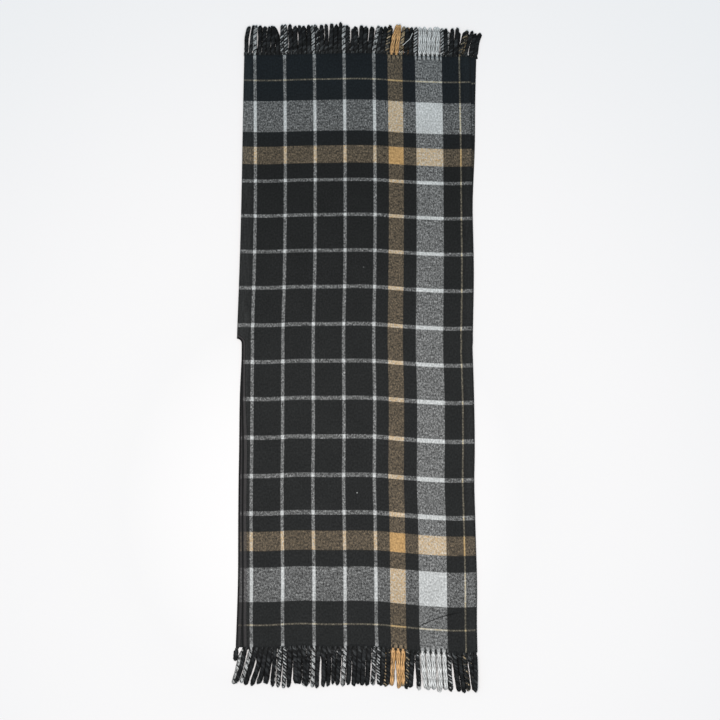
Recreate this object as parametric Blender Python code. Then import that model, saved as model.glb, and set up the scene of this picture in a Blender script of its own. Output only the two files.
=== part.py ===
"""A fringed plaid poncho of the ruana kind, folded in half along its centre back and laid flat.

The garment is one woven rectangle, slit from the front hem to just past its middle, with twisted
tassels of its own warp on both short hems. It lies on z = 0 with its fold and its slit edges on the
-X side, its two selvedges on the +X side, its back hem towards +Y and its front hems towards -Y.

Cloth coordinates: u runs across from the centre back line, positive on the upper layer and negative
on the lower one, and v runs along from the middle line, positive towards the back hem. All in metres.
"""

import math

import bpy

# The cut of the cloth, flat.
HALF_WIDTH = 0.657
BACK_LENGTH = 0.835
FRONT_LENGTH = 0.822
SLIT_END = 0.0155
SLIT_CORNER = 0.014

# How it lies: the wall, the air left between the two layers, and the height of the rounded fold.
CLOTH = 0.002
LAYER_GAP = 0.0005
FOLD_HEIGHT = 0.0065
FOLD_EASE = 0.030
FOLD_FADE = 0.110

# Tassels lie thicker than the cloth that they are made from.
TASSEL = 0.004
TASSEL_ROOT = 0.012
SEAM_GAP = 0.0003

# The middle line lies this far towards +Y from the centre of the whole piece, tassels included.
MIDDLE_Y = 0.0115

LOWER_MID = CLOTH / 2
UPPER_MID = LOWER_MID + CLOTH + LAYER_GAP
QUARTER = math.pi / 2

# Across the back half, from hem to neck: where the fold comes in the cloth (roll, in cloth u), and
# where the fold and the two selvedges lie.
BACK_ROWS = [
    dict(v=0.835, roll=0.0125, fold=-0.3325, upper=0.3160, lower=0.3350),
    dict(v=0.722, roll=0.0090, fold=-0.3343, upper=0.3165, lower=0.3290),
    dict(v=0.580, roll=0.0060, fold=-0.3355, upper=0.3175, lower=0.3265),
    dict(v=0.407, roll=0.0030, fold=-0.3362, upper=0.3180, lower=0.3190),
    dict(v=0.200, roll=0.0010, fold=-0.3394, upper=0.3180, lower=0.3170),
    dict(v=0.031, roll=0.0000, fold=-0.3429, upper=0.3155, lower=0.3130),
]

# Across the front half, from neck to hem: how far the slit's edge stands in from the cloth's centre
# line, and where the slit edge and the selvedge of each layer lie.
FRONT_ROWS = [
    dict(v=-0.008, inset=0.0140, upper_slit=-0.3280, upper=0.3130, lower_slit=-0.3290, lower=0.3110),
    dict(v=-0.135, inset=0.0145, upper_slit=-0.3275, upper=0.3140, lower_slit=-0.3325, lower=0.3090),
    dict(v=-0.300, inset=0.0180, upper_slit=-0.3230, upper=0.3165, lower_slit=-0.3335, lower=0.3080),
    dict(v=-0.467, inset=0.0185, upper_slit=-0.3225, upper=0.3155, lower_slit=-0.3340, lower=0.3080),
    dict(v=-0.661, inset=0.0190, upper_slit=-0.3200, upper=0.3180, lower_slit=-0.3325, lower=0.3080),
    dict(v=-0.822, inset=0.0190, upper_slit=-0.3185, upper=0.3160, lower_slit=-0.3375, lower=0.3090),
]

# The bow of the cross rows: how far each lies out of straight at the back hem and the front hem.
BOW = [
    dict(u=0.000, back=-0.0020, front=-0.0025),
    dict(u=0.085, back=-0.0020, front=-0.0030),
    dict(u=0.170, back=0.0000, front=0.0000),
    dict(u=0.340, back=0.0020, front=-0.0010),
    dict(u=0.400, back=0.0005, front=-0.0030),
    dict(u=0.480, back=-0.0050, front=-0.0110),
    dict(u=0.600, back=-0.0100, front=-0.0200),
    dict(u=0.657, back=-0.0100, front=-0.0195),
]

# The fringe's outline: how far the tassels reach from the hem, and how far they lean towards +X.
BACK_FRINGE = [
    dict(u=0.000, reach=0.090, lean=0.004),
    dict(u=0.170, reach=0.090, lean=-0.003),
    dict(u=0.340, reach=0.088, lean=0.000),
    dict(u=0.480, reach=0.088, lean=0.001),
    dict(u=0.600, reach=0.084, lean=0.012),
    dict(u=0.657, reach=0.076, lean=0.015),
]
FRONT_FRINGE = [
    dict(u=0.000, reach=0.096, lean=-0.0131),
    dict(u=0.100, reach=0.108, lean=-0.0100),
    dict(u=0.170, reach=0.112, lean=-0.0030),
    dict(u=0.340, reach=0.104, lean=-0.0030),
    dict(u=0.600, reach=0.102, lean=0.0040),
    dict(u=0.657, reach=0.1065, lean=0.0010),
]

# Stations: steps away from the fold round its loop and on to the slit's edge, then even columns.
NEAR_FOLD = [0.0, 0.0018, 0.0035, 0.0070, 0.0100, 0.0125, SLIT_CORNER]
FAR_COLUMNS = 10
BACK_STATIONS = 9
FRONT_STATIONS = 10
FRINGE_COLUMNS = 10
FRINGE_ROWS = [0.0, 0.14, 0.5, 1.0]

BLACK_WOOL = (0.030, 0.032, 0.034, 1.0)
BLACK_TASSEL = (0.024, 0.025, 0.027, 1.0)


def lerp(a, b, t):
    return a + (b - a) * t


def ease(t):
    """0 to 1 with level ends."""
    t = min(max(t, 0.0), 1.0)
    return t * t * (3 - 2 * t)


def read_row(rows, key, at, column):
    """One column of a table at key = at, in straight steps between its rows."""
    rows = sorted(rows, key=lambda row: row[key])
    if at <= rows[0][key]:
        return rows[0][column]
    for low, high in zip(rows, rows[1:]):
        if at <= high[key]:
            return lerp(low[column], high[column], (at - low[key]) / (high[key] - low[key]))
    return rows[-1][column]


def bow(u, v):
    along = (v + FRONT_LENGTH) / (BACK_LENGTH + FRONT_LENGTH)
    back = read_row(BOW, "u", abs(u), "back")
    front = read_row(BOW, "u", abs(u), "front")
    return lerp(front, back, along)


def fold_height(v):
    """Outer height of the fold: round along the back, pressed down to the two layers at the neck."""
    flat = UPPER_MID + CLOTH / 2
    return lerp(flat, FOLD_HEIGHT, ease((v - SLIT_END) / FOLD_FADE))


def fold_radius(v):
    """Radius of the fold's loop, at mid wall."""
    return (fold_height(v) - CLOTH) / 2


def back_point(layer, step, v):
    """Mid wall of the back half, step metres of cloth away from the fold."""
    fold = read_row(BACK_ROWS, "v", v, "fold")
    roll = read_row(BACK_ROWS, "v", v, "roll")
    selvedge = read_row(BACK_ROWS, "v", v, layer)
    side = 1 if layer == "upper" else -1
    radius = fold_radius(v)
    centre_z = CLOTH / 2 + radius
    loop = radius * QUARTER
    y = MIDDLE_Y + v + bow(roll + side * step, v)
    if step < loop:
        turn = step / radius
        x = fold + CLOTH / 2 + radius * (1 - math.cos(turn))
        return x, y, centre_z + side * radius * math.sin(turn)
    whole = HALF_WIDTH - side * roll - loop
    start = fold + CLOTH / 2 + radius
    x = lerp(start, selvedge, (step - loop) / whole)
    if layer == "lower":
        return x, y, LOWER_MID
    settle = ease((step - loop) / FOLD_EASE)
    return x, y, lerp(centre_z + radius, UPPER_MID, settle)


def front_point(layer, u, v):
    """Mid wall of one front at cloth distance u from the centre line."""
    inset = read_row(FRONT_ROWS, "v", v, "inset")
    slit = read_row(FRONT_ROWS, "v", v, layer + "_slit")
    selvedge = read_row(FRONT_ROWS, "v", v, layer)
    x = lerp(slit, selvedge, (u - inset) / (HALF_WIDTH - inset))
    return x, MIDDLE_Y + v + bow(u, v), UPPER_MID if layer == "upper" else LOWER_MID


def row_of_back(v, curved=False):
    """A whole row of the back half, from the lower selvedge round the fold to the upper selvedge."""
    row = []
    roll = read_row(BACK_ROWS, "v", v, "roll")
    for layer, side in (("lower", -1), ("upper", 1)):
        far = HALF_WIDTH - side * roll
        steps = NEAR_FOLD + [lerp(SLIT_CORNER, far, (i + 1) / FAR_COLUMNS) for i in range(FAR_COLUMNS)]
        half = []
        for step in steps:
            drop = 0.0
            if curved:
                inside = min(step / SLIT_CORNER, 1.0)
                drop = SLIT_CORNER * (1 - math.sqrt(1 - inside * inside))
            half.append(back_point(layer, step, v - drop))
        row += half[::-1] if layer == "lower" else half[1:]
    return row


def row_of_front(layer, v):
    """One front's row, from its slit edge to its selvedge."""
    inset = read_row(FRONT_ROWS, "v", v, "inset")
    columns = [lerp(inset, HALF_WIDTH, i / FAR_COLUMNS) for i in range(FAR_COLUMNS + 1)]
    return [front_point(layer, u, v) for u in columns]


def new_object(name, points, faces, colour, roughness):
    mesh = bpy.data.meshes.new(name)
    mesh.from_pydata(points, [], faces)
    mesh.validate()
    mesh.update()
    material = bpy.data.materials.new(name)
    material.use_nodes = True
    shader = material.node_tree.nodes["Principled BSDF"]
    shader.inputs["Base Color"].default_value = colour
    shader.inputs["Roughness"].default_value = roughness
    shader.inputs["Metallic"].default_value = 0.0
    material.diffuse_color = colour
    mesh.materials.append(material)
    thing = bpy.data.objects.new(name, mesh)
    bpy.context.scene.collection.objects.link(thing)
    return thing


def make_cloth():
    """The folded sheet: its mid surface, given its wall by Solidify."""
    points = []
    faces = []

    def add_row(row):
        start = len(points)
        points.extend(row)
        return list(range(start, start + len(row)))

    def join(near, far):
        """Faces between two rows of points, looking up on the upper layer."""
        for i in range(len(near) - 1):
            faces.append((near[i], near[i + 1], far[i + 1], far[i]))

    back_step = (BACK_LENGTH - 2 * SLIT_END) / BACK_STATIONS
    back_lines = [2 * SLIT_END + back_step * i for i in range(BACK_STATIONS + 1)]
    neck = add_row(row_of_back(SLIT_END, curved=True))
    last = neck
    for v in back_lines:
        row = add_row(row_of_back(v))
        join(last, row)
        last = row

    slit_foot = SLIT_END - SLIT_CORNER
    front_step = (FRONT_LENGTH + slit_foot) / FRONT_STATIONS
    front_lines = [slit_foot - front_step * (i + 1) for i in range(FRONT_STATIONS)]
    middle = len(neck) // 2
    edge = len(NEAR_FOLD) - 1
    upper_top = neck[middle + edge :]
    lower_top = neck[: middle - edge + 1][::-1]
    for layer, top in (("upper", upper_top), ("lower", lower_top)):
        last = top
        for v in front_lines:
            row = add_row(row_of_front(layer, v))
            if layer == "upper":
                join(row, last)
            else:
                join(last, row)
            last = row

    cloth = new_object("cloth", points, faces, BLACK_WOOL, 0.9)
    wall = cloth.modifiers.new("wall", "SOLIDIFY")
    wall.thickness = CLOTH
    wall.offset = 0.0
    wall.use_even_offset = True
    return cloth


def make_fringe(name, layer, end):
    """The plain solid of one layer's tassels on one hem, as thick as the cloth at its root."""
    rows = BACK_FRINGE if end == "back" else FRONT_FRINGE
    outward = 1 if end == "back" else -1
    side = 1 if layer == "upper" else -1
    hem = BACK_LENGTH if end == "back" else -FRONT_LENGTH
    roll = read_row(BACK_ROWS, "v", hem, "roll")
    inset = read_row(FRONT_ROWS, "v", hem, "inset")
    under = 0.0 if layer == "lower" else TASSEL + SEAM_GAP

    low = []
    high = []
    for across in range(FRINGE_COLUMNS + 1):
        share = across / FRINGE_COLUMNS
        if end == "back":
            step = lerp(fold_radius(hem) * QUARTER, HALF_WIDTH - side * roll, share)
            u = abs(roll + side * step)
            root = back_point(layer, step, hem)
        else:
            u = lerp(inset, HALF_WIDTH, share)
            root = front_point(layer, u, hem)
        reach = read_row(rows, "u", u, "reach")
        lean = read_row(rows, "u", u, "lean")
        for along in FRINGE_ROWS:
            out = SEAM_GAP + along * (reach - SEAM_GAP)
            swell = ease(out / TASSEL_ROOT)
            x = root[0] + lean * along
            y = root[1] + outward * out
            bottom = lerp(root[2] - CLOTH / 2, under, swell)
            top = lerp(root[2] + CLOTH / 2, under + TASSEL, swell)
            low.append((x, y, bottom))
            high.append((x, y, top))

    count = len(FRINGE_ROWS)
    half = len(low)
    faces = []
    for i in range(FRINGE_COLUMNS):
        for j in range(count - 1):
            a = i * count + j
            quad = (a, a + count, a + count + 1, a + 1)
            faces.append(tuple(half + k for k in quad))
            faces.append(quad[::-1])
    rim = [i * count for i in range(FRINGE_COLUMNS + 1)]
    rim += [FRINGE_COLUMNS * count + j for j in range(1, count)]
    rim += [i * count + count - 1 for i in range(FRINGE_COLUMNS - 1, -1, -1)]
    rim += [j for j in range(count - 2, 0, -1)]
    for a, b in zip(rim, rim[1:] + rim[:1]):
        faces.append((a, b, half + b, half + a))
    if end == "front":
        faces = [face[::-1] for face in faces]
    return new_object(name, low + high, faces, BLACK_TASSEL, 0.95)


def main():
    for thing in list(bpy.data.objects):
        bpy.data.objects.remove(thing, do_unlink=True)
    make_cloth()
    for end in ("back", "front"):
        for layer in ("upper", "lower"):
            make_fringe(f"fringe_{end}_{layer}", layer, end)


main()
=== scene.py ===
"""Looks of a fringed plaid poncho, folded in half along its centre back and lying flat.

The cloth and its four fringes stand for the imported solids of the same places, and black overcasting
is added along the raw edges. Everything is in metres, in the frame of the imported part.

Cloth coordinates: u runs across from the centre back line, positive on the upper layer and negative
on the lower one, and v runs along from the middle line, positive towards the back hem. They are
kept on the meshes as the UV map "cut", so the plaid is woven in the cloth's own sizes. A side of 1
is the upper layer, and one of -1 the lower.
"""

import math

import bpy
import numpy as np
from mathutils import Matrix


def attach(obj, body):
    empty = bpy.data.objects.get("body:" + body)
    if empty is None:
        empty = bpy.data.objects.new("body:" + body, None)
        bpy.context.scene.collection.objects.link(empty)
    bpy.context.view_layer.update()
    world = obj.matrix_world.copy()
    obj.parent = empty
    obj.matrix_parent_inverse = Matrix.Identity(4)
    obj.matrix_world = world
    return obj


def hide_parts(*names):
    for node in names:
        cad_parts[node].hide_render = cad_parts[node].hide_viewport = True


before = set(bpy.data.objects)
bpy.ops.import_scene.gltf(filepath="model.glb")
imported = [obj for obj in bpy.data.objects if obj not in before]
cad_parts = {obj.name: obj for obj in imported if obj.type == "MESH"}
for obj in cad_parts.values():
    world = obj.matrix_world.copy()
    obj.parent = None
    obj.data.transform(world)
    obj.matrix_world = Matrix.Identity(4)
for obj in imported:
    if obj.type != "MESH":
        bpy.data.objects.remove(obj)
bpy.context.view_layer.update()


def table(columns, *rows):
    """Rows as dictionaries, with their columns named once."""
    return [dict(zip(columns.split(), row)) for row in rows]


# ---- how the cloth is cut and lies

HALF_WIDTH = 0.657
BACK_LENGTH = 0.835
FRONT_LENGTH = 0.822
SLIT_END = 0.0155
SLIT_CORNER = 0.014
SLIT_FOOT = SLIT_END - SLIT_CORNER
MIDDLE_Y = 0.0115

CLOTH = 0.002
LAYER_GAP = 0.0005
FOLD_HEIGHT = 0.0065
FOLD_EASE = 0.03
FOLD_FADE = 0.11
LAYERS = {1: "upper", -1: "lower"}
MID_WALL = {1: CLOTH * 1.5 + LAYER_GAP, -1: CLOTH / 2}
QUARTER = math.pi / 2
UP = np.array([0.0, 0.0, 1.0])

# The lower layer lies a little nearer the front hem, and the upper one sags where it overhangs. No
# point is nearer to u = 0 than LEAST_U, so the sign of u always tells its layer.
LOWER_LAG = 0.003
LAG_WIDTH = 0.08
OVERHANG_DROP = 0.0012
OVERHANG_EASE = 0.014
LEAST_U = 1e-6

# Across the back half: where the fold comes in the cloth (roll), where its edges lie, and how far
# the cloth beside the selvedge (pull) and further in (bulge) is drawn off the straight.
BACK_ROWS = table(
    "v roll fold upper lower pull bulge",
    (0.835, 0.0125, -0.3317, 0.3151, 0.332, 0, 0),
    (0.722, 0.009, -0.3328, 0.3159, 0.328, 0, 0),
    (0.58, 0.006, -0.3338, 0.3171, 0.325, 0, 0),
    (0.407, 0.003, -0.3349, 0.3162, 0.317, 0.0002, 0),
    (0.2, 0.001, -0.3381, 0.3176, 0.3166, -0.0022, 0),
    (0.031, 0, -0.3424, 0.3129, 0.3105, -0.0008, 0),
)

# Across the front half: how far the slit's edge stands in from the centre line, and the edges.
FRONT_ROWS = table(
    "v inset upper_slit upper lower_slit lower pull bulge",
    (-0.008, 0.014, -0.3277, 0.3118, -0.3266, 0.31, -0.0002, 0),
    (-0.135, 0.0145, -0.3271, 0.3144, -0.3314, 0.308, 0.0004, 0),
    (-0.3, 0.018, -0.3227, 0.3143, -0.3318, 0.307, -0.0007, 0),
    (-0.355, 0.0183, -0.3226, 0.3126, -0.3322, 0.307, -0.0002, 0),
    (-0.467, 0.0185, -0.3221, 0.3138, -0.332, 0.307, 0.0006, 0.0006),
    (-0.661, 0.019, -0.3187, 0.3166, -0.3309, 0.307, -0.001, 0.0012),
    (-0.745, 0.019, -0.3183, 0.315, -0.3325, 0.3075, 0, 0.0014),
    (-0.822, 0.019, -0.3168, 0.3158, -0.3345, 0.308, 0.0008, 0.0014),
)
BULGE_START = 0.05
PULL_START = 0.25
PULL_FULL = 0.45
PULL_END = 0.6

# The bow of the cross rows, and the slight unevenness of the weave along the cloth.
BOW = table(
    "u back front",
    (0, -0.003, -0.0035), (0.085, -0.0037, -0.0037), (0.17, -0.0011, 0.0005),
    (0.255, 0.0009, -0.0013), (0.34, 0.0022, -0.0008), (0.4, 0.0003, -0.003),
    (0.442, -0.003, -0.0073), (0.537, -0.0072, -0.0158), (0.6, -0.0089, -0.0189),
    (0.657, -0.0078, -0.0174),
)
BEAT = table(
    "v shift",
    (0.835, 0), (0.763, -0.0038), (0.702, -0.004), (0.609, -0.0017), (0.54, -0.0014),
    (0.466, -0.0007), (0.362, 0.0021), (0.259, 0.0034), (0.155, 0.0038), (0.052, 0.0019),
    (-0.052, 0.0024), (-0.155, 0.0029), (-0.259, -0.0001), (-0.362, -0.0017), (-0.466, -0.0001),
    (-0.566, -0.001), (-0.609, -0.0025), (-0.702, -0.0015), (-0.763, -0.0017), (-0.822, 0),
)

# Creases pressed into each layer, in cloth coordinates: middle, direction in degrees from the u
# axis, length, width across, and height (a trough is negative). The lower layer's show above too.
UPPER_CREASES = table(
    "u v turn length width height",
    (0.532, -0.7405, 26, 0.096, 0.0055, -0.0014),
    (0.6, -0.7165, 14, 0.052, 0.0055, -0.0016),
    (0.596, -0.708, 12, 0.06, 0.009, 0.0013),
    (0.5, -0.73, 8, 0.11, 0.014, 0.0005),
    (0.205, -0.31, 88, 0.3, 0.03, 0.0011),
    (0.248, -0.29, 91, 0.24, 0.024, -0.0004),
    (0.07, 0.13, 84, 0.26, 0.045, 0.001),
    (0.33, 0.02, 3, 0.34, 0.028, 0.0006),
    (0.45, 0.35, 95, 0.28, 0.035, 0.0008),
    (0.12, 0.56, 80, 0.2, 0.032, 0.0006),
    (0.585, 0.25, 87, 0.42, 0.026, 0.0007),
    (0.385, -0.56, 76, 0.18, 0.026, 0.0007),
    (0.1, -0.64, 97, 0.22, 0.03, 0.0008),
)
LOWER_CREASES = table(
    "u v turn length width height",
    (0.15, 0.4, 86, 0.36, 0.026, 0.0006),
    (0.42, 0.1, 5, 0.26, 0.022, 0.0005),
    (0.26, -0.45, 94, 0.3, 0.03, 0.0006),
    (0.56, -0.2, 88, 0.34, 0.024, 0.0005),
)
CREASE_WANDER = 0.12
CREASE_PACE = 9
CREASE_FADE = 3.2
SWELL = 0.0009
SWELL_LENGTHS = (0.096, 0.272)
SWELL_WAVES = 9

# Mesh spacing. The columns next to the fold turn its loop, and the rows are close at the tuck.
FOLD_STEPS = [0.0, 0.0006, 0.0012, 0.0018, 0.0024, 0.003, 0.0037, 0.0048, 0.0065, 0.0085, 0.011]
ROW_STEP = 0.0068
FINE_STEP = 0.0023
TUCK_ROWS = (-0.768, -0.692)
COLUMN_STEPS = {1: 0.0068, -1: 0.02}


def mix(a, b, t):
    return a + (b - a) * t


def ease(x, low=0.0, high=1.0):
    """0 at low to 1 at high, level at both ends."""
    t = np.clip((x - low) / (high - low), 0.0, 1.0)
    return t * t * (3 - 2 * t)


def unit(vectors):
    return vectors / np.linalg.norm(vectors, axis=-1, keepdims=True)


def read_columns(rows, name):
    """A table's first column and another one, in rising order."""
    key = next(iter(rows[0]))
    rows = sorted(rows, key=lambda row: row[key])
    return np.array([row[key] for row in rows]), np.array([row[name] for row in rows])


def read_row(rows, at, name):
    """A column at these values of the table's first column, in straight steps between its rows."""
    return np.interp(at, *read_columns(rows, name))


def read_curve(rows, at, name):
    """The same, on a smooth curve through the rows."""
    keys, values = read_columns(rows, name)
    at = np.clip(at, keys[0], keys[-1])
    low = np.clip(np.searchsorted(keys, at, side="right") - 1, 0, len(keys) - 2)
    span = keys[low + 1] - keys[low]
    t = (at - keys[low]) / span
    slopes = np.gradient(values, keys)
    start = slopes[low] * span
    end = slopes[low + 1] * span
    rise = values[low + 1] - values[low]
    return values[low] + t * (start + t * (3 * rise - 2 * start - end + t * (start + end - 2 * rise)))


def along_y(u, v):
    """World y of the cloth: the straight cut, its bow and uneven beat, and the lower layer's lag."""
    share = (v + FRONT_LENGTH) / (BACK_LENGTH + FRONT_LENGTH)
    bow = mix(read_curve(BOW, np.abs(u), "front"), read_curve(BOW, np.abs(u), "back"), share)
    lag = np.where(u < 0, LOWER_LAG * ease(-u / LAG_WIDTH), 0.0)
    return MIDDLE_Y + v + bow + read_curve(BEAT, v, "shift") - lag


def drawn(rows, u, v):
    """How far the cloth is drawn along x, between its middle and the selvedge."""
    u = np.abs(u)
    pull = ease(u, PULL_START, PULL_FULL) * read_curve(rows, v, "pull")
    bulge = ease(u, BULGE_START, PULL_START) * read_curve(rows, v, "bulge")
    return (pull + bulge) * (1 - ease(u, PULL_END, HALF_WIDTH))


def soft_waves(x, y):
    """A smooth uneven field from about -1 to 1."""
    rng = np.random.default_rng(4)
    total = 0.0
    for _ in range(SWELL_WAVES):
        heading = rng.uniform(0, math.tau)
        pace = math.tau / rng.uniform(*SWELL_LENGTHS)
        phase = rng.uniform(0, math.tau)
        total = total + np.sin(pace * (x * math.cos(heading) + y * math.sin(heading)) + phase)
    return total / math.sqrt(SWELL_WAVES) / 2


def creases(rows, u, v):
    """Height of the creases at each cloth point: rounded across, and fading out at both ends."""
    total = np.zeros(np.broadcast(u, v).shape)
    for row in rows:
        turn = math.radians(row["turn"])
        du = np.abs(u) - row["u"]
        dv = v - row["v"]
        along = (du * math.cos(turn) + dv * math.sin(turn)) / row["length"]
        across = (dv * math.cos(turn) - du * math.sin(turn)) / row["width"]
        across = across + CREASE_WANDER * np.sin(CREASE_PACE * along)
        total += row["height"] * ease(CREASE_FADE * (0.5 - np.abs(along))) * np.exp(-2 * across**2)
    return total


def relief(u, v, step):
    """How far the layer at u lies above its level rest, dying out towards the fold."""
    lower = creases(LOWER_CREASES, u, v)
    swell = SWELL * (0.5 + 0.5 * soft_waves(np.abs(u), v))
    upper = lower + swell + creases(UPPER_CREASES, u, v)
    return np.where(u < 0, lower, np.maximum(upper, lower)) * ease(step / FOLD_EASE)


def placed(side, rows, x, u, v, z):
    """World points, where the upper layer sags past the lower layer's selvedge."""
    if side > 0:
        past = x - read_curve(rows, v, "lower") + OVERHANG_EASE / 3
        z = z - OVERHANG_DROP * ease(past / OVERHANG_EASE)
    return np.stack([x, along_y(u, v), z], -1)


def back_points(side, step, v):
    """Mid wall of the back half, step metres of cloth away from the fold. The fold's loop is round
    along the back and pressed flat at the neck."""
    pressed = MID_WALL[1] + CLOTH / 2
    radius = (mix(pressed, FOLD_HEIGHT, ease((v - SLIT_END) / FOLD_FADE)) - CLOTH) / 2
    loop = radius * QUARTER
    turn = np.minimum(step / radius, QUARTER)
    foot = read_curve(BACK_ROWS, v, "fold") + CLOTH / 2 + radius
    roll = read_curve(BACK_ROWS, v, "roll")
    selvedge = read_curve(BACK_ROWS, v, LAYERS[side])
    share = (step - loop) / (HALF_WIDTH - side * roll - loop)
    x = np.where(step < loop, foot - radius * np.cos(turn), mix(foot, selvedge, share))
    u = roll + side * step
    x = x + drawn(BACK_ROWS, u, v)
    round_z = CLOTH / 2 + radius + side * radius * np.sin(turn)
    flat_z = mix(round_z, MID_WALL[side], ease((step - loop) / FOLD_EASE))
    on_layer = side * np.maximum(side * u, LEAST_U)
    z = np.where(step < loop, round_z, flat_z) + relief(on_layer, v, step)
    return placed(side, BACK_ROWS, x, on_layer, v, z)


def front_points(side, u, v):
    """Mid wall of one front at cloth distance u from the centre line."""
    inset = read_curve(FRONT_ROWS, v, "inset")
    slit = read_curve(FRONT_ROWS, v, LAYERS[side] + "_slit")
    selvedge = read_curve(FRONT_ROWS, v, LAYERS[side])
    x = mix(slit, selvedge, (u - inset) / (HALF_WIDTH - inset)) + drawn(FRONT_ROWS, u, v)
    return placed(side, FRONT_ROWS, x, side * u, v, MID_WALL[side] + relief(side * u, v, u))


# ---- meshes


def new_object(name, data):
    made = bpy.data.objects.new(name, data)
    bpy.context.scene.collection.objects.link(made)
    return made


def new_piece(name, points, faces, maps, material):
    """A smooth mesh with its UV maps (two numbers for each point), riding on the part's one body."""
    mesh = bpy.data.meshes.new(name)
    mesh.from_pydata(points.reshape(-1, 3).tolist(), [], faces)
    mesh.shade_smooth()
    corners = np.zeros(len(mesh.loops), np.int32)
    mesh.loops.foreach_get("vertex_index", corners)
    for label, numbers in maps.items():
        pairs = [np.broadcast_to(each, points.shape[:-1]).ravel() for each in numbers]
        layer = mesh.uv_layers.new(name=label)
        layer.data.foreach_set("uv", np.stack(pairs, -1)[corners].astype(np.float32).ravel())
    mesh.materials.append(material)
    piece = new_object(name, mesh)
    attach(piece, "root")
    return piece


def evenly(start, end, step):
    """Stations from start to end, about step apart."""
    return np.linspace(start, end, max(2, round(abs(end - start) / step) + 1))


def grid_faces(index):
    """Quads of a grid of point numbers whose rows run along x and follow each other along y."""
    corners = [index[:-1, :-1], index[:-1, 1:], index[1:, 1:], index[1:, :-1]]
    return np.stack(corners, -1).reshape(-1, 4).tolist()


def far_columns(side):
    """Shares of the cloth from the slit's corner to the selvedge."""
    return evenly(0.0, 1.0, COLUMN_STEPS[side] / HALF_WIDTH)


def back_half(side, v):
    """One layer of the back half: x, y, z, u and v of a row of points for each v, from the fold out
    to the selvedge. The first rows curve down round the slit's rounded end."""
    reach = HALF_WIDTH - side * read_curve(BACK_ROWS, v, "roll")
    near = np.broadcast_to(FOLD_STEPS, (len(v), len(FOLD_STEPS)))
    step = np.concatenate([near, mix(SLIT_CORNER, reach[:, None], far_columns(side))], 1)
    drop = SLIT_CORNER * (1 - np.sqrt(1 - np.minimum(step / SLIT_CORNER, 1.0) ** 2))
    at = v[:, None] - drop * (1 - ease((v - SLIT_END) / (3 * SLIT_CORNER)))[:, None]
    u = read_curve(BACK_ROWS, at, "roll") + side * step
    return np.dstack([back_points(side, step, at), u, at])


def front_half(side, v):
    """One front in the same way, from its slit edge out to its selvedge."""
    inset = read_curve(FRONT_ROWS, v, "inset")
    u = mix(inset[:, None], HALF_WIDTH, far_columns(side))
    at = np.broadcast_to(v[:, None], u.shape)
    return np.dstack([front_points(side, u, at), side * u, at])


def make_cloth(material):
    """The folded sheet: its mid surface, given its wall by Solidify."""
    back_v = evenly(SLIT_END, BACK_LENGTH, ROW_STEP)
    front_v = np.concatenate([
        evenly(SLIT_FOOT - ROW_STEP, TUCK_ROWS[1], ROW_STEP)[:-1],
        evenly(TUCK_ROWS[1], TUCK_ROWS[0], FINE_STEP)[:-1],
        evenly(TUCK_ROWS[0], -FRONT_LENGTH, ROW_STEP),
    ])
    backs = [back_half(1, back_v), back_half(-1, back_v)[:, 1:]]
    grids = [*backs, front_half(1, front_v), front_half(-1, front_v)]
    counts = np.cumsum([grid[..., 0].size for grid in grids])
    numbers = np.split(np.arange(counts[-1]), counts[:-1])
    indices = [some.reshape(grid.shape[:2]) for some, grid in zip(numbers, grids)]
    upper, lower, upper_front, lower_front = indices
    corner = len(FOLD_STEPS)
    faces = [
        *grid_faces(np.concatenate([lower[:, ::-1], upper], 1)),
        *grid_faces(np.concatenate([upper[:1, corner:], upper_front])[::-1]),
        *grid_faces(np.concatenate([lower[:1, corner - 1 :], lower_front])[::-1, ::-1]),
    ]
    points = np.concatenate([grid.reshape(-1, 5) for grid in grids])
    maps = {"cut": points[:, 3:].T}
    cloth = new_piece("poncho_cloth", points[:, :3], faces, maps, material)
    wall = cloth.modifiers.new("wall", "SOLIDIFY")
    wall.thickness = CLOTH
    wall.offset = 0.0
    wall.use_even_offset = True
    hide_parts("cloth")
    return cloth


def tubes(paths, reference, half_widths, half_heights, sides):
    """Closed tubes round many paths at once: points (tube, station, side, xyz) and faces.
    reference is a direction across each path, along which half_heights is measured. The sides
    are numbered round from the lowest, so that a UV map's seam stays underneath."""
    ahead = unit(np.gradient(paths, axis=1))
    across = unit(np.cross(reference, ahead))
    up = np.cross(ahead, across)
    turn = (np.arange(sides) + 0.5) * math.tau / sides - QUARTER
    wide = half_widths[..., None, None] * np.cos(turn)[:, None] * across[:, :, None, :]
    high = half_heights[..., None, None] * np.sin(turn)[:, None] * up[:, :, None, :]
    points = paths[:, :, None, :] + wide + high
    index = np.arange(points[..., 0].size).reshape(points.shape[:3])
    near = index[:, :-1]
    far = index[:, 1:]
    quads = np.stack([near, np.roll(near, -1, 2), np.roll(far, -1, 2), far], -1).reshape(-1, 4)
    caps = np.concatenate([index[:, 0, ::-1], index[:, -1]])
    return points, quads.tolist() + caps.tolist()


def yarn_map(points):
    """The UV map of plain yarn: its noise only needs places that differ."""
    return {"yarn": (points[:, 0] + points[:, 2], points[:, 1])}


# ---- the overcast edges

STITCH_PITCH = 0.0068
SLIT_PITCH = 0.004
STITCH_JITTER = 0.07
STITCH_DEPTHS = (0.00352, 0.00448)
STITCH_SLANT = 0.003
STITCH_YARN = 0.00062
STITCH_SIDES = 5
RIM_YARN = 0.00125
RIM_KNOTS = 0.12
RIM_FLATNESS = 0.8
RIM_SIDES = 6
EDGE_PROBES = (0.0, 0.004)
AHEAD_PROBE = 0.001
CORNER_POINTS = 16

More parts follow.
